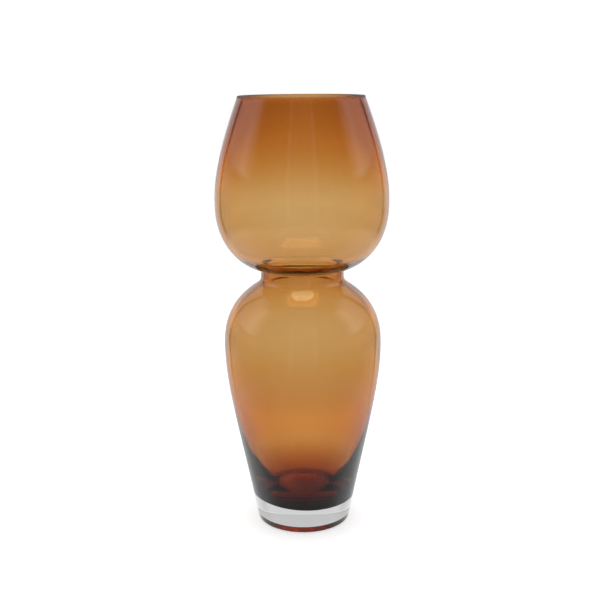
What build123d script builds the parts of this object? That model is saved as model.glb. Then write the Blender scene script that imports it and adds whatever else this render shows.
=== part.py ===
"""Gourd vase in cased glass: a heavy clear casing over a thin amber lining.

The vase is blown as one vessel and pinched to a short neck, so its hollow runs open from the mouth,
through the bowl and the neck, down to the floor. Millimetres, +Z up. The origin is the centre of the
ring that the foot stands on, and the Z axis is the axis of the blown form.
"""
from build123d import *
import math
import os

# Heights of the stretches of the outside, from the foot up
foot_to_belly = 176.1
belly_to_neck = 61.3
neck_length = 5.6
neck_to_bowl = 59.8
bowl_to_rim = 97.2

# Outside radii where the stretches meet
foot_radius = 43.8
belly_radius = 73.0
neck_radius = 38.2
bowl_radius = 79.2
rim_radius = 56.6

# Roundings of the outside
heel_radius = 2.2
shoulder_bend_radius = 8.0
underbowl_bend_radius = 1.5
rim_edge_radius = 0.5

# Leans of the outside wall, in degrees from upright
foot_lean = 11.35
shoulder_lean = 48.0
underbowl_lean = 82.0
rim_lean = 20.8

# How far the wall keeps its direction past the end of each stretch, which sets how full the curve is
foot_run = 113.2
below_belly_run = 39.9
above_belly_run = 37.8
shoulder_run = 8.0
underbowl_run = 14.0
below_bowl_run = 38.3
above_bowl_run = 11.0
rim_run = 68.9

# Underside: a narrow flat ring to stand on, round a shallow recess with sloping sides
stand_ring_width = 1.5
recess_depth = 3.5
recess_side_width = 8.5

# Glass measured square to the wall: casing and lining together
rim_wall = 5.3
bowl_wall = 5.1
neck_wall = 5.8
belly_wall = 5.4

# Inside of the neck, where the hollow comes in from the belly at a wider bend than it opens into the bowl
hollow_shoulder_bend = 12.0
hollow_bowl_bend = 4.5
hollow_shoulder_lean = 44.8
hollow_bowl_lean = 79.8
hollow_shoulder_run = 6.2
hollow_bowl_run = 17.9

# Inside of the foot, where the hollow draws in past an ankle and rounds to a small flat floor
floor_height = 22.5
floor_flat_radius = 17.0
floor_corner_radius = 17.0
floor_side_lean = 34.0
floor_side_run = 8.8
ankle_height = 66.5
ankle_inside_radius = 49.0
ankle_lean = 18.3
below_ankle_run = 14.3
above_ankle_run = 33.0
inside_belly_run = 32.0

# Amber lining: thin in the middle, gathered thicker in the neck, to the rim and to a lump under the floor
lining_middle = 0.61
lining_neck = 0.95
lining_rim = 1.38
lining_rim_run = 66.5
lining_ankle = 0.9
lining_ankle_lean = 19.4
lining_floor_corner = 2.8
lining_floor_lean = 28.5

# The lump's rounded underside, a little tilted, with its lowest point toward +X
lump_underside_height = 17.0
lump_bulge_radius = 110.0
lump_tilt = 2.6
lump_side_lean = 12.0
lump_edge_radius = 2.0

# How far the cutting solids stand past the flat rim
rim_overrun = 4.0

# Heights of the stations, added up from the stretches
belly_height = foot_to_belly
neck_foot_height = belly_height + belly_to_neck
neck_top_height = neck_foot_height + neck_length
bowl_height = neck_top_height + neck_to_bowl
height = bowl_height + bowl_to_rim


def toward(lean):
    """Direction in the half section that rises and leans outward by so many degrees."""
    return Vector(math.sin(math.radians(lean)), math.cos(math.radians(lean)))


def stretch(start, start_lean, start_run, end, end_lean, end_run):
    """One smooth stretch of wall between two stations, leaving and arriving at the given leans."""
    start = Vector(*start)
    end = Vector(*end)
    return Bezier(start, start + toward(start_lean) * start_run, end - toward(end_lean) * end_run, end)


def pinched_neck(radius, shoulder_bend, bowl_bend, shoulder_way, bowl_way):
    """A bend in from the shoulder to the neck's radius, a short upright, and a bend out under the bowl."""
    lower_centre = (radius + shoulder_bend, neck_foot_height)
    lower = CenterArc(lower_centre, shoulder_bend, 180 + shoulder_way, -shoulder_way)
    upper = CenterArc((radius + bowl_bend, neck_top_height), bowl_bend, 180, -bowl_way)
    Line(lower @ 1, upper @ 0)
    return lower @ 0, upper @ 1


def rim_station(depth):
    """Point on the flat rim at a depth square to the leaning wall."""
    return (rim_radius - depth / math.cos(math.radians(rim_lean)), height)


def outside_wall():
    """Outside from the belly up to the rim, as one chain of curves."""
    belly = (belly_radius, belly_height)
    bowl = (bowl_radius, bowl_height)
    neck_start, neck_end = pinched_neck(
        neck_radius, shoulder_bend_radius, underbowl_bend_radius, shoulder_lean, underbowl_lean
    )
    stretch(belly, 0, above_belly_run, neck_start, -shoulder_lean, shoulder_run)
    stretch(neck_end, underbowl_lean, underbowl_run, bowl, 0, below_bowl_run)
    stretch(bowl, 0, above_bowl_run, rim_station(0), -rim_lean, rim_run)


def hollow_wall(lining, lining_in_neck, lining_at_rim, end_run):
    """Wall of the hollow from the belly up to the rim, or the lining's outer face at those depths."""
    belly = (belly_radius - belly_wall + lining, belly_height)
    bowl = (bowl_radius - bowl_wall + lining, bowl_height)
    neck_start, neck_end = pinched_neck(
        neck_radius - neck_wall + lining_in_neck,
        hollow_shoulder_bend - lining,
        hollow_bowl_bend - lining,
        hollow_shoulder_lean,
        hollow_bowl_lean,
    )
    belly_run = above_belly_run * belly[0] / belly_radius
    bowl_run = below_bowl_run * bowl[0] / bowl_radius
    stretch(belly, 0, belly_run, neck_start, -hollow_shoulder_lean, hollow_shoulder_run)
    stretch(neck_end, hollow_bowl_lean, hollow_bowl_run, bowl, 0, bowl_run)
    stretch(bowl, 0, above_bowl_run, rim_station(rim_wall - lining_at_rim), -rim_lean, end_run)


def rim_extension(depth):
    """Straight run past the rim, so that a cutting solid leaves no face in the rim's plane."""
    start = Vector(*rim_station(depth))
    return Line(start, start + toward(-rim_lean) * (rim_overrun / math.cos(math.radians(rim_lean))))


def close_to_axis(top, bottom):
    """Straight lines that close a chain of wall curves on the axis."""
    Polyline((top.X, top.Y), (0, top.Y), (0, bottom.Y), (bottom.X, bottom.Y))


def lower_wall(start, start_lean, ankle_side_lean, lining_at_ankle, lining):
    """Wall of the hollow's foot from its floor corner up to the belly, or the lining's outer face there."""
    ankle_way = toward(ankle_lean)
    ankle = Vector(ankle_inside_radius, ankle_height) + Vector(ankle_way.Y, -ankle_way.X) * lining_at_ankle
    belly = (belly_radius - belly_wall + lining, belly_height)
    stretch(start, start_lean, floor_side_run, ankle, ankle_side_lean, below_ankle_run)
    stretch(ankle, ankle_side_lean, above_ankle_run, belly, 0, inside_belly_run)


def floor_corner():
    """Rounding between the flat floor of the hollow and its side."""
    centre = (floor_flat_radius, floor_height + floor_corner_radius)
    return CenterArc(centre, floor_corner_radius, -90, 90 - floor_side_lean)


def lump_top():
    """Point on the amber's outer face beside the end of the floor corner."""
    with BuildLine(mode=Mode.PRIVATE):
        side = floor_corner() @ 1
    way = toward(floor_side_lean)
    return side + Vector(way.Y, -way.X) * lining_floor_corner


# Clear glass under the lump: a block as high as the lump's side, hollowed by the lump's rounded underside
with BuildPart() as glass_under_lump:
    with Locations((0, 0, lump_top().Y / 2)):
        Box(2 * belly_radius, 2 * belly_radius, lump_top().Y)
    bulge_aside = lump_bulge_radius * math.sin(math.radians(lump_tilt))
    with Locations((bulge_aside, 0, lump_underside_height + lump_bulge_radius)):
        Sphere(lump_bulge_radius, mode=Mode.SUBTRACT)

# Amber core: everything inside the casing, hollow included, down to the rounded underside of the lump
with BuildPart() as amber_core:
    with BuildSketch(Plane.XZ):
        with BuildLine():
            lump_side = Line(lump_top(), lump_top() - toward(lump_side_lean) * lump_top().Y)
            lower_wall(lump_top(), lining_floor_lean, lining_ankle_lean, lining_ankle, lining_middle)
            hollow_wall(lining_middle, lining_neck, lining_rim, lining_rim_run)
            top = rim_extension(rim_wall - lining_rim)
            close_to_axis(top @ 1, lump_side @ 1)
        make_face()
    revolve(axis=Axis.Z)
    add(glass_under_lump.part, mode=Mode.SUBTRACT)
    fillet(amber_core.faces().sort_by(Axis.Z)[0].edges(), lump_edge_radius)

# Clear casing: the whole outside form, cut by the amber core that it was gathered over
with BuildPart() as clear_casing:
    with BuildSketch(Plane.XZ):
        with BuildLine():
            heel = CenterArc((foot_radius - heel_radius, heel_radius), heel_radius, -90, 90 - foot_lean)
            stretch(heel @ 1, foot_lean, foot_run, (belly_radius, belly_height), 0, below_belly_run)
            outside_wall()
            recess_mouth = (heel @ 0).X - stand_ring_width
            recess_top = Vector(recess_mouth - recess_side_width, recess_depth)
            close_to_axis(Vector(*rim_station(0)), recess_top)
            Polyline((recess_top.X, recess_top.Y), (recess_mouth, 0), heel @ 0)
        make_face()
    revolve(axis=Axis.Z)
    add(amber_core.part, mode=Mode.SUBTRACT)
    fillet(clear_casing.edges().group_by(Axis.Z)[-1].sort_by(SortBy.RADIUS)[-1], rim_edge_radius)

# Amber lining: the core trimmed flat at the rim and hollowed from the mouth to the floor
with BuildPart() as amber_lining:
    add(amber_core.part)
    split(bisect_by=Plane.XY.offset(height), keep=Keep.BOTTOM)
    with BuildSketch(Plane.XZ):
        with BuildLine():
            corner = floor_corner()
            lower_wall(corner @ 1, floor_side_lean, ankle_lean, 0, 0)
            hollow_wall(0, 0, 0, rim_run)
            top = rim_extension(rim_wall)
            close_to_axis(top @ 1, corner @ 0)
        make_face()
    revolve(axis=Axis.Z, mode=Mode.SUBTRACT)
    fillet(amber_lining.edges().group_by(Axis.Z)[-1].sort_by(SortBy.RADIUS)[0], rim_edge_radius)

os.makedirs("parts", exist_ok=True)
clear_casing.part.label = "clear_casing"
export_step(clear_casing.part, "parts/clear_casing.step")
amber_lining.part.label = "amber_lining"
export_step(amber_lining.part, "parts/amber_lining.step")
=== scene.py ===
import math

import bpy
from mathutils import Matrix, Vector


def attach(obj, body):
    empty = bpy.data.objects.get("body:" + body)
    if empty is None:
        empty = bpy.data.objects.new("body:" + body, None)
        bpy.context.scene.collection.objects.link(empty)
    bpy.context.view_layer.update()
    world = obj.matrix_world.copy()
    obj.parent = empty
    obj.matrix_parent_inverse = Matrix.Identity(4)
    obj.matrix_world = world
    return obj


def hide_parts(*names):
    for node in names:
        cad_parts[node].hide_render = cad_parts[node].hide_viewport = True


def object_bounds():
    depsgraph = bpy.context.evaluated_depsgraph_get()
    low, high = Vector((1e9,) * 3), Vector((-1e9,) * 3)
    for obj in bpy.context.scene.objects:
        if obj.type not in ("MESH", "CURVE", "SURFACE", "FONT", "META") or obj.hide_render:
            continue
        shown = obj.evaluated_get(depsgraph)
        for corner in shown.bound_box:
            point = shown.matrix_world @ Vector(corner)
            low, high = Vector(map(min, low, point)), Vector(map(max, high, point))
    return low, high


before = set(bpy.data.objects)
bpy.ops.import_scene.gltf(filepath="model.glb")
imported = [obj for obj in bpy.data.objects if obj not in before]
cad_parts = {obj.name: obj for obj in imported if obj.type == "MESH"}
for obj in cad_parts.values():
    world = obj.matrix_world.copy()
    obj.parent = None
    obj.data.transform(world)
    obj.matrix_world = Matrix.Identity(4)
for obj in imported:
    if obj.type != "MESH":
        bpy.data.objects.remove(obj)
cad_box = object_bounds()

# Amber lining
# The first gather of amber glass, blown thin over the whole inside of the vase. It thickens to the cut rim
# and runs down to a solid lump under the floor of the hollow, whose rounded underside is a little tilted.
belly_height = 0.1761
neck_foot_height = 0.2374
neck_top_height = 0.2430
bowl_height = 0.3028
rim_height = cad_box[1][2]
belly_radius = 0.0730
neck_radius = 0.0382
bowl_radius = 0.0792
rim_radius = 0.0566
shoulder_bend = 0.0080
underbowl_bend = 0.0015
rim_edge = 0.0005
shoulder_lean = 48.0
underbowl_lean = 82.0
rim_lean = 20.8
above_belly_run = 0.0378
shoulder_run = 0.0080
underbowl_run = 0.0140
below_bowl_run = 0.0383
above_bowl_run = 0.0110
rim_run = 0.0689
rim_wall = 0.0053
bowl_wall = 0.0051
neck_wall = 0.0058
hollow_shoulder_bend = 0.0120
hollow_bowl_bend = 0.0045
# In front, the hollow opens into the bowl at a rounder bend than behind
front_bowl_bend = 0.0060
bowl_bends = (hollow_bowl_bend, front_bowl_bend)
hollow_shoulder_lean = 44.8
hollow_bowl_lean = 79.8
hollow_shoulder_run = 0.0062
hollow_bowl_run = 0.0179
belly_wall = 0.0054
floor_height = 0.0225
floor_flat_radius = 0.0170
floor_corner_radius = 0.0170
floor_side_lean = 34.0
floor_side_run = 0.0088
ankle_height = 0.0665
ankle_inside_radius = 0.0490
ankle_lean = 18.3
below_ankle_run = 0.0143
above_ankle_run = 0.0330
inside_belly_run = 0.0320
lining_middle = 0.00061
lining_neck = 0.00095
lining_rim = 0.00138
lining_rim_run = 0.0665
lining_ankle = 0.00090
lining_ankle_lean = 19.4
lining_floor_corner = 0.0028
lining_floor_lean = 28.5
lump_underside_height = 0.0170
lump_bulge_radius = 0.110
lump_side_lean = 12.0
lump_tilt = 2.6
lump_edge = 0.0020
lump_edge_inset = 0.0012
lump_edge_rise = 0.0016
bulge_steps = 16
skin = 0.00005
turn_steps = 192
front_fade = 1.5


def toward(lean):
    """Direction in the half section that rises and leans outward by so many degrees."""
    return math.sin(math.radians(lean)), math.cos(math.radians(lean))


def stretch(start, start_lean, start_run, end, end_lean, end_run, steps):
    """Points along one smooth stretch of wall, from its start up to just before its end."""
    a, b = toward(start_lean), toward(end_lean)
    second = (start[0] + a[0] * start_run, start[1] + a[1] * start_run)
    third = (end[0] - b[0] * end_run, end[1] - b[1] * end_run)
    corners = (start, second, third, end)
    line = []
    for i in range(steps):
        t = i / steps
        shares = ((1 - t) ** 3, 3 * t * (1 - t) ** 2, 3 * t * t * (1 - t), t ** 3)
        line.append(tuple(sum(k * c[axis] for k, c in zip(shares, corners)) for axis in (0, 1)))
    return line


def straight(start, end, steps):
    """Points along a straight line, from its start up to just before its end."""
    return [tuple(a + (b - a) * i / steps for a, b in zip(start, end)) for i in range(steps)]


def rounding(centre, radius, start, sweep, steps):
    """Points along an arc in the half section, both ends included."""
    angles = [math.radians(start + sweep * i / steps) for i in range(steps + 1)]
    return [(centre[0] + radius * math.cos(a), centre[1] + radius * math.sin(a)) for a in angles]


def rim_corner(depth):
    """Radius on the flat rim at a depth square to the leaning wall."""
    return rim_radius - depth / toward(rim_lean)[1]


def pinched_neck(radius, shoulder_bend, bowl_bend, shoulder_way, bowl_way):
    """Half section of the neck: a bend from the shoulder, a short upright and a bend out under the bowl."""
    low_centre = (radius + shoulder_bend, neck_foot_height)
    low = rounding(low_centre, shoulder_bend, 180 + shoulder_way, -shoulder_way, 14)
    return low + rounding((radius + bowl_bend, neck_top_height), bowl_bend, 180, -bowl_way, 20)


def outside_wall():
    """Half section of the outside from the belly up to just under the rim."""
    neck = pinched_neck(neck_radius, shoulder_bend, underbowl_bend, shoulder_lean, underbowl_lean)
    belly, bowl, rim = (belly_radius, belly_height), (bowl_radius, bowl_height), (rim_radius, rim_height)
    line = stretch(belly, 0, above_belly_run, neck[0], -shoulder_lean, shoulder_run, 40) + neck[:-1]
    line += stretch(neck[-1], underbowl_lean, underbowl_run, bowl, 0, below_bowl_run, 44)
    return line + stretch(bowl, 0, above_bowl_run, rim, -rim_lean, rim_run, 44)


def hollow_wall(bowl_bend, lining, lining_in_neck, lining_at_rim, end_run):
    """Half section of the hollow from the belly to just under the rim, or of the lining's outer face."""
    belly = (belly_radius - belly_wall + lining, belly_height)
    bowl = (bowl_radius - bowl_wall + lining, bowl_height)
    rim = (rim_corner(rim_wall - lining_at_rim), rim_height)
    neck = pinched_neck(
        neck_radius - neck_wall + lining_in_neck,
        hollow_shoulder_bend - lining,
        bowl_bend - lining,
        hollow_shoulder_lean,
        hollow_bowl_lean,
    )
    belly_run = above_belly_run * belly[0] / belly_radius
    bowl_run = below_bowl_run * bowl[0] / bowl_radius
    line = stretch(belly, 0, belly_run, neck[0], -hollow_shoulder_lean, hollow_shoulder_run, 40) + neck[:-1]
    line += stretch(neck[-1], hollow_bowl_lean, hollow_bowl_run, bowl, 0, bowl_run, 44)
    return line + stretch(bowl, 0, above_bowl_run, rim, -rim_lean, end_run, 44)


def lower_wall(start, start_lean, ankle_side_lean, lining_at_ankle, lining):
    """Half section of the hollow from its floor corner to just under the belly, or of the lining's face."""
    way = toward(ankle_lean)
    ankle = (ankle_inside_radius + way[1] * lining_at_ankle, ankle_height - way[0] * lining_at_ankle)
    belly = (belly_radius - belly_wall + lining, belly_height)
    line = stretch(start, start_lean, floor_side_run, ankle, ankle_side_lean, below_ankle_run, 22)
    return line + stretch(ankle, ankle_side_lean, above_ankle_run, belly, 0, inside_belly_run, 44)


def floor_corner():
    """Rounding between the flat floor of the hollow and its side."""
    centre = (floor_flat_radius, floor_height + floor_corner_radius)
    return rounding(centre, floor_corner_radius, -90, 90 - floor_side_lean, 18)


def inner_rim_edge(depth):
    """Polished edge between the hollow and the flat rim, at a depth in the glass, from the hollow up."""
    way = toward(rim_lean)
    centre = (rim_corner(rim_wall) + rim_edge * (1 + way[0]) / way[1], rim_height - rim_edge)
    return rounding(centre, rim_edge - depth, 180 + rim_lean, -90 - rim_lean, 8)


def hollow_line(bowl_bend, depth):
    """Half section of the hollow from the middle of its floor up to the rim, at a depth in the glass."""
    corner = floor_corner()
    line = straight((0.0, floor_height), corner[0], 6) + corner[:-1]
    line += lower_wall(corner[-1], floor_side_lean, ankle_lean, 0, 0)
    line += hollow_wall(bowl_bend, 0, 0, 0, rim_run)
    moved = [(0.0, floor_height - depth)]
    for before, point, after in zip(line, line[1:], line[2:]):
        run = math.hypot(after[0] - before[0], after[1] - before[1])
        across = ((after[1] - before[1]) / run, -(after[0] - before[0]) / run)
        moved.append((point[0] + across[0] * depth, point[1] + across[1] * depth))
    return moved + inner_rim_edge(depth)


def turned(name, outline, front_outline):
    """Closed glass form turned about the upright axis, whose half section fades from back to front."""
    points = [(0.0, 0.0, outline[0][1])]
    for back, front in zip(outline[1:-1], front_outline[1:-1]):
        for k in range(turn_steps):
            angle = 2 * math.pi * k / turn_steps
            share = min(max(0.5 - front_fade * math.sin(angle), 0.0), 1.0)
            radius, height = (b + (f - b) * share for b, f in zip(back, front))
            points.append((radius * math.cos(angle), radius * math.sin(angle), height))
    points.append((0.0, 0.0, outline[-1][1]))
    last = len(points) - 1
    last_ring = last - turn_steps
    faces = []
    for k in range(turn_steps):
        m = (k + 1) % turn_steps
        faces.append((0, 1 + m, 1 + k))
        faces.append((last, last_ring + k, last_ring + m))
        for low in range(1, last_ring, turn_steps):
            high = low + turn_steps
            faces.append((low + k, low + m, high + m, high + k))
    mesh = bpy.data.meshes.new(name)
    mesh.from_pydata(points, [], faces)
    mesh.polygons.foreach_set("use_smooth", [True] * len(mesh.polygons))
    mesh.update()
    piece = bpy.data.objects.new(name, mesh)
    bpy.context.collection.objects.link(piece)
    return piece


side_way = toward(floor_side_lean)
corner_end = floor_corner()[-1]
lump_top = (
    corner_end[0] + side_way[1] * lining_floor_corner,
    corner_end[1] - side_way[0] * lining_floor_corner,
)
lump_way = toward(lump_side_lean)
lump_edge_height = lump_underside_height + lump_top[0] ** 2 / (2 * lump_bulge_radius)
lump_edge_slope = math.degrees(math.asin(lump_top[0] / lump_bulge_radius))
lump_side_foot = lump_top[0] - (lump_top[1] - lump_edge_height) * lump_way[0] / lump_way[1]
edge_centre = (lump_side_foot - lump_edge_inset, lump_edge_height + lump_edge_rise)
edge_sweep = 90 - lump_edge_slope - lump_side_lean
lump_edge_line = rounding(edge_centre, lump_edge, lump_edge_slope - 90, edge_sweep, 8)
bulge_reach = lump_edge_line[0][0]
bulge_rise = lump_edge_line[0][1] - lump_underside_height
lump_line = []
for i in range(bulge_steps):
    share = i / bulge_steps
    lump_line.append((bulge_reach * share, lump_underside_height + bulge_rise * share ** 2))
lump_line += lump_edge_line[:-1] + straight(lump_edge_line[-1], lump_top, 10)
amber_side = lower_wall(lump_top, lining_floor_lean, lining_ankle_lean, lining_ankle, lining_middle)
amber_rim = (rim_corner(rim_wall - lining_rim), rim_height - skin)
amber_lines = []
for bend in bowl_bends:
    amber_wall = hollow_wall(bend, lining_middle, lining_neck, lining_rim, lining_rim_run)
    amber_lines.append(lump_line + amber_side + amber_wall + [amber_rim] + hollow_line(bend, skin)[::-1])
lining = turned("amber_lining_glass", *amber_lines)
lump_points = 1 + turn_steps * (len(lump_line) - 1)
for vertex in lining.data.vertices[:lump_points]:
    share = (lump_top[1] - vertex.co.z) / (lump_top[1] - lump_edge_line[-1][1])
    vertex.co.z -= vertex.co.x * math.tan(math.radians(lump_tilt)) * min(max(share, 0.0), 1.0)

amber_glass = bpy.data.materials.new("amber_glass")
amber_glass.use_nodes = True
nodes, links = amber_glass.node_tree.nodes, amber_glass.node_tree.links
shader = nodes["Principled BSDF"]
shader.inputs["Base Color"].default_value = (1.0, 1.0, 1.0, 1.0)
shader.inputs["Transmission Weight"].default_value = 1.0
shader.inputs["Roughness"].default_value = 0.0
shader.inputs["IOR"].default_value = 1.0
depth_of_colour = nodes.new("ShaderNodeVolumeAbsorption")
depth_of_colour.inputs["Color"].default_value = (0.841, 0.559, 0.029, 1.0)
depth_of_colour.inputs["Density"].default_value = 1700.0
links.new(depth_of_colour.outputs["Volume"], nodes["Material Output"].inputs["Volume"])
lining.data.materials.append(amber_glass)
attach(lining, "root")
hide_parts("amber_lining")

# Clear casing
# The second gather of clear glass, taken over the amber one and blown with it, so the two are fused. It
# carries the heavy solid foot, recessed underneath, and its rim is cut flat with polished edges.
foot_radius = 0.0438
heel_radius = 0.0022
foot_lean = 11.35
foot_run = 0.1132
below_belly_run = 0.0399
stand_ring_width = 0.0015
recess_depth = 0.0035
recess_side_width = 0.0085
crease = 0.00015
satin_ring = 0.35
satin_ring_height = 0.0006
satin_rim = 0.60
satin_band = 0.004


def creased(before, corner, after):
    """Points on both sides of a crisp corner, close enough to it that the faces beside it stay true."""
    line = []
    for end, reach in ((before, 4), (before, 1), (after, 1), (after, 4)):
        run = math.hypot(end[0] - corner[0], end[1] - corner[1])
        line.append(tuple(c + (e - c) * reach * crease / run for c, e in zip(corner, end)))
    return line


heel_line = rounding((foot_radius - heel_radius, heel_radius), heel_radius, -90, 90 - foot_lean, 18)
recess_mouth = (heel_line[0][0] - stand_ring_width, 0.0)
recess_top = (recess_mouth[0] - recess_side_width, recess_depth)
recess_middle = (0.0, recess_depth)
casing_outside = straight(recess_middle, recess_top, 5)
casing_outside += creased(recess_middle, recess_top, recess_mouth)
casing_outside += creased(recess_top, recess_mouth, heel_line[0])
casing_outside += heel_line[:-1]
belly_point = (belly_radius, belly_height)
casing_outside += stretch(heel_line[-1], foot_lean, foot_run, belly_point, 0, below_belly_run, 64)
casing_outside += outside_wall()
rim_way = toward(rim_lean)
outer_edge_centre = (rim_radius - rim_edge * (1 - rim_way[0]) / rim_way[1], rim_height - rim_edge)
casing_outside += rounding(outer_edge_centre, rim_edge, rim_lean, 90 - rim_lean, 8)
casing_lines = [casing_outside + hollow_line(bend, 0.0)[::-1] for bend in bowl_bends]
casing = turned("clear_casing_glass", *casing_lines)

clear_glass = bpy.data.materials.new("clear_glass")
clear_glass.use_nodes = True
nodes, links = clear_glass.node_tree.nodes, clear_glass.node_tree.links
shader = nodes["Principled BSDF"]
shader.inputs["Base Color"].default_value = (1.0, 1.0, 1.0, 1.0)
shader.inputs["Transmission Weight"].default_value = 1.0
shader.inputs["Roughness"].default_value = 0.0
shader.inputs["IOR"].default_value = 1.5
place = nodes.new("ShaderNodeTexCoord")
upright = nodes.new("ShaderNodeSeparateXYZ")
links.new(place.outputs["Object"], upright.inputs["Vector"])
satin_stops = [
    (0.0, satin_ring),
    (satin_ring_height / rim_height, 0.0),
    (1.0 - satin_band / rim_height, 0.0),
    (1.0, satin_rim),
]
satin = nodes.new("ShaderNodeValToRGB")
for step, _ in satin_stops[1:-1]:
    satin.color_ramp.elements.new(step)
for element, (step, rough) in zip(satin.color_ramp.elements, satin_stops):
    element.position = step
    element.color = (rough, rough, rough, 1.0)
share_up = nodes.new("ShaderNodeMath")
share_up.operation = "DIVIDE"
share_up.inputs[1].default_value = rim_height
links.new(upright.outputs["Z"], share_up.inputs[0])
links.new(share_up.outputs[0], satin.inputs["Fac"])
links.new(satin.outputs["Color"], shader.inputs["Roughness"])
stretched = nodes.new("ShaderNodeMapping")
stretched.inputs["Scale"].default_value = (1.0, 1.0, 0.35)
links.new(place.outputs["Object"], stretched.inputs["Vector"])
waves = nodes.new("ShaderNodeTexNoise")
waves.inputs["Scale"].default_value = 55.0
waves.inputs["Detail"].default_value = 1.0
links.new(stretched.outputs["Vector"], waves.inputs["Vector"])
blown = nodes.new("ShaderNodeBump")
blown.inputs["Strength"].default_value = 0.25
blown.inputs["Distance"].default_value = 0.0006
links.new(waves.outputs["Fac"], blown.inputs["Height"])
links.new(blown.outputs["Normal"], shader.inputs["Normal"])
faint_grey = nodes.new("ShaderNodeVolumeAbsorption")
faint_grey.inputs["Color"].default_value = (0.10, 0.12, 0.10, 1.0)
faint_grey.inputs["Density"].default_value = 3.0
links.new(faint_grey.outputs["Volume"], nodes["Material Output"].inputs["Volume"])
casing.data.materials.append(clear_glass)
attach(casing, "root")
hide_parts("clear_casing")

# Studio floor
# A plain white sweep of card under the vase, which keeps the soft shadow round the foot.
floor_half = 4.0
floor_drop = 0.0004
floor_mesh = bpy.data.meshes.new("studio_floor")
floor_corners = [(-1, -1), (1, -1), (1, 1), (-1, 1)]
floor_points = [(x * floor_half, y * floor_half, -floor_drop) for x, y in floor_corners]
floor_mesh.from_pydata(floor_points, [], [(0, 1, 2, 3)])
floor = bpy.data.objects.new("studio_floor", floor_mesh)
bpy.context.collection.objects.link(floor)
floor.visible_transmission = False
floor.visible_glossy = False
white_card = bpy.data.materials.new("white_card")
white_card.use_nodes = True
nodes, links = white_card.node_tree.nodes, white_card.node_tree.links
shader = nodes["Principled BSDF"]
shader.inputs["Base Color"].default_value = (0.85, 0.85, 0.85, 1.0)
shader.inputs["Roughness"].default_value = 0.9
shader.inputs["Emission Color"].default_value = (1.0, 1.0, 1.0, 1.0)
shader.inputs["Emission Strength"].default_value = 0.6
floor_mesh.materials.append(white_card)

# Painted shade under the foot
# A glowing card seen only through the glass foot, with painted shade for the little light past the amber
# lump, least in front.
shade_radius = 0.0435
shade_steps = 48
# Painted shade colours across the card: dark amber-brown in front, pale grey at the back.
painted_shade_stops = [(0.0, (0.15, 0.09, 0.05)), (0.35, (0.32, 0.28, 0.25)), (1.0, (0.90, 0.90, 0.90))]
shade_mesh = bpy.data.meshes.new("foot_shade")
shade_points = []
for k in range(shade_steps):
    angle = 2 * math.pi * k / shade_steps
    shade_points.append((shade_radius * math.cos(angle), shade_radius * math.sin(angle), -floor_drop / 2))
shade_mesh.from_pydata(shade_points, [], [tuple(range(shade_steps))])
shade = bpy.data.objects.new("foot_shade", shade_mesh)
bpy.context.collection.objects.link(shade)
shade.visible_camera = False
shade.visible_diffuse = False
shade.visible_glossy = False
shade.visible_shadow = False
painted_shade_card = bpy.data.materials.new("painted_shade_card")
painted_shade_card.use_nodes = True
nodes, links = painted_shade_card.node_tree.nodes, painted_shade_card.node_tree.links
nodes.remove(nodes["Principled BSDF"])
place = nodes.new("ShaderNodeTexCoord")
across = nodes.new("ShaderNodeSeparateXYZ")
links.new(place.outputs["Object"], across.inputs["Vector"])
fade = nodes.new("ShaderNodeMapRange")
fade.inputs["From Min"].default_value = -shade_radius
fade.inputs["From Max"].default_value = shade_radius
links.new(across.outputs["Y"], fade.inputs["Value"])
cast = nodes.new("ShaderNodeValToRGB")
for step, _ in painted_shade_stops[1:-1]:
    cast.color_ramp.elements.new(step)
for element, (step, colour) in zip(cast.color_ramp.elements, painted_shade_stops):
    element.position = step
    element.color = (*colour, 1.0)
links.new(fade.outputs["Result"], cast.inputs["Fac"])
# The card glows with this painted shade instead of being lit by the lamps.
glow = nodes.new("ShaderNodeEmission")
links.new(cast.outputs["Color"], glow.inputs["Color"])
links.new(glow.outputs["Emission"], nodes["Material Output"].inputs["Surface"])
shade_mesh.materials.append(painted_shade_card)

# Studio light
# The surround as it shows through the glass and mirrored in it: a white table, brightest where the vase
# throws its light, a wall that dims upward, a dark opening at each side, side windows and a dim room behind
# the camera. Each stop is an angle in degrees and the brightness there.
world = bpy.data.worlds.new("studio")
bpy.context.scene.world = world
world.use_nodes = True
nodes, links = world.node_tree.nodes, world.node_tree.links
surround = nodes["Background"]
outlook = nodes.new("ShaderNodeTexCoord")
parts = nodes.new("ShaderNodeSeparateXYZ")
links.new(outlook.outputs["Generated"], parts.inputs["Vector"])
around = nodes.new("ShaderNodeMath")
around.operation = "ARCTAN2"
links.new(parts.outputs["X"], around.inputs[0])
links.new(parts.outputs["Y"], around.inputs[1])
either_side = nodes.new("ShaderNodeMath")
either_side.operation = "ABSOLUTE"
links.new(around.outputs[0], either_side.inputs[0])
turn_share = nodes.new("ShaderNodeMath")
turn_share.operation = "DIVIDE"
turn_share.inputs[1].default_value = math.pi
links.new(either_side.outputs[0], turn_share.inputs[0])
height_share = nodes.new("ShaderNodeMapRange")
height_share.inputs["From Min"].default_value = -1.0
height_share.inputs["From Max"].default_value = 1.0
links.new(parts.outputs["Z"], height_share.inputs["Value"])
sideways = turn_share.outputs[0]
level = height_share.outputs["Result"]


def grey_scale(source, stops):
    """Brightness that follows a value through the given stops."""
    ramp = nodes.new("ShaderNodeValToRGB")
    for step, _ in stops[2:]:
        ramp.color_ramp.elements.new(step)
    for element, (step, grey) in zip(ramp.color_ramp.elements, stops):
        element.position = step
        element.color = (grey, grey, grey, 1.0)
    links.new(source, ramp.inputs["Fac"])
    return ramp.outputs["Color"]


def by_turn(stops):
    """Brightness that follows the angle to either side of +Y, from stops in degrees."""
    return grey_scale(sideways, [(degrees / 180, grey) for degrees, grey in stops])


def by_height(stops):
    """Brightness that follows the angle above the horizon, from stops in degrees."""
    return grey_scale(level, [((1 + math.sin(math.radians(up))) / 2, grey) for up, grey in stops])


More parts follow.
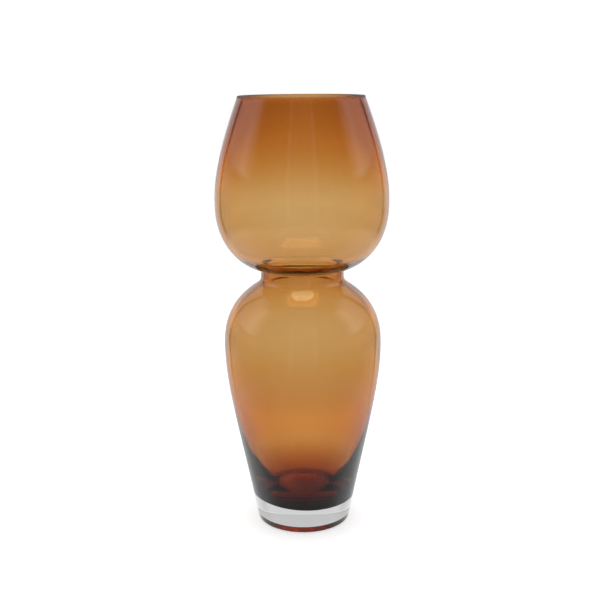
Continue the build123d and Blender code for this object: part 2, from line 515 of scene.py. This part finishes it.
def joined(how, first, second):
    """Two brightnesses added, multiplied or subtracted."""
    result = nodes.new("ShaderNodeVectorMath")
    result.operation = how
    links.new(first, result.inputs[0])
    links.new(second, result.inputs[1])
    return result.outputs["Vector"]


def blend(share, first, second):
    """One brightness that gives way to another."""
    result = nodes.new("ShaderNodeMix")
    result.data_type = "RGBA"
    links.new(share, result.inputs["Factor"])
    links.new(first, result.inputs["A"])
    links.new(second, result.inputs["B"])
    return result.outputs["Result"]


ahead = by_height([
    (-90, 0.30), (-70, 0.35), (-55, 0.65), (-39, 0.72), (-31, 0.90), (-22, 1.10), (-18.5, 0.83),
    (-3.5, 0.88), (-1.5, 0.68), (12, 0.48), (27, 0.75), (90, 0.75),
])
aside = by_height([
    (-90, 0.30), (-70, 0.35), (-55, 0.70), (-35, 0.84), (-19.5, 1.05), (-14, 0.80), (-6, 0.86),
    (-1, 1.22), (1, 1.20), (2.5, 0.68), (12, 0.46), (27, 0.75), (90, 0.75),
])
far_aside = by_height([
    (-90, 0.30), (-70, 0.40), (-55, 0.75), (-30, 0.95), (-22, 1.10), (-15, 0.75), (-8, 0.66),
    (0, 1.10), (5, 1.20), (9, 0.46), (27, 0.66), (90, 0.70),
])
behind = by_turn([(0, 1.0), (90, 1.0), (112, 0.55), (180, 0.55)])
seen_through = blend(by_turn([(0, 0.0), (9, 0.0), (21, 1.0), (180, 1.0)]), ahead, aside)
seen_through = blend(by_turn([(0, 0.0), (29, 0.0), (41, 1.0), (180, 1.0)]), seen_through, far_aside)
seen_through = joined("MULTIPLY", seen_through, behind)
room = by_turn([
    (0, 0.86), (43, 0.80), (45.5, 0.14), (49, 0.10), (51.5, 0.46), (65, 0.46), (84, 0.24), (110, 0.15),
    (158, 0.12), (161, 0.55), (165, 0.22), (180, 0.22),
])
room_height = by_height([(-90, 0.0), (-26, 0.0), (-20, 1.0), (45, 1.0), (60, 0.6), (90, 0.4)])
table = by_height([(-90, 0.98), (-27, 0.98), (-20, 0.0), (90, 0.0)])
table_ahead = by_turn([(0, 1.0), (80, 1.0), (115, 0.60), (180, 0.50)])
side_window = by_turn([(0, 0.0), (51, 0.0), (55, 0.28), (66, 0.36), (92, 1.20), (114, 0.0), (180, 0.0)])
window_height = by_height([(-90, 0.0), (8, 0.0), (11, 1.0), (45, 1.0), (55, 0.0), (90, 0.0)])
mirrored = joined("ADD", joined("MULTIPLY", room, room_height), joined("MULTIPLY", table, table_ahead))
mirrored = joined("ADD", mirrored, joined("MULTIPLY", side_window, window_height))
path = nodes.new("ShaderNodeLightPath")
reflected = nodes.new("ShaderNodeMath")
reflected.operation = "SUBTRACT"
reflected.use_clamp = True
links.new(path.outputs["Is Glossy Ray"], reflected.inputs[0])
links.new(path.outputs["Is Transmission Ray"], reflected.inputs[1])
in_the_glass = blend(reflected.outputs[0], seen_through, mirrored)
white = nodes.new("ShaderNodeMix")
white.data_type = "RGBA"
white.inputs["B"].default_value = (1.0, 1.0, 1.0, 1.0)
links.new(path.outputs["Is Camera Ray"], white.inputs["Factor"])
links.new(in_the_glass, white.inputs["A"])
links.new(white.outputs["Result"], surround.inputs["Color"])

panel = bpy.data.lights.new("panel_above", "AREA")
panel.shape = "RECTANGLE"
panel.size, panel.size_y = 0.9, 0.7
panel.energy = 9.0
panel_above = bpy.data.objects.new("panel_above", panel)
panel_above.location = (0.0, -0.1, 1.6)
panel_above.visible_glossy = False
bpy.context.collection.objects.link(panel_above)

spark = bpy.data.lights.new("lamp_in_front", "POINT")
spark.shadow_soft_size = 0.003
spark.energy = 0.012
lamp_in_front = bpy.data.objects.new("lamp_in_front", spark)
lamp_in_front.location = (0.035, -0.43, 0.55)
bpy.context.collection.objects.link(lamp_in_front)

# Camera
# A little above the mouth, looking slightly down along +Y, as the photograph was taken.
look_down = 13.22
roll = 0.37
lens = bpy.data.cameras.new("camera")
lens.sensor_width = 36.0
lens.lens = 59.177
camera = bpy.data.objects.new("camera", lens)
camera.location = (0.00130, -0.900, 0.4228)
camera.rotation_euler = (math.radians(90 - look_down), math.radians(roll), 0.0)
bpy.context.collection.objects.link(camera)
scene = bpy.context.scene
scene.camera = camera
scene.view_settings.view_transform = "Standard"
scene.cycles.max_bounces = 28
scene.cycles.transmission_bounces = 28
scene.cycles.glossy_bounces = 12
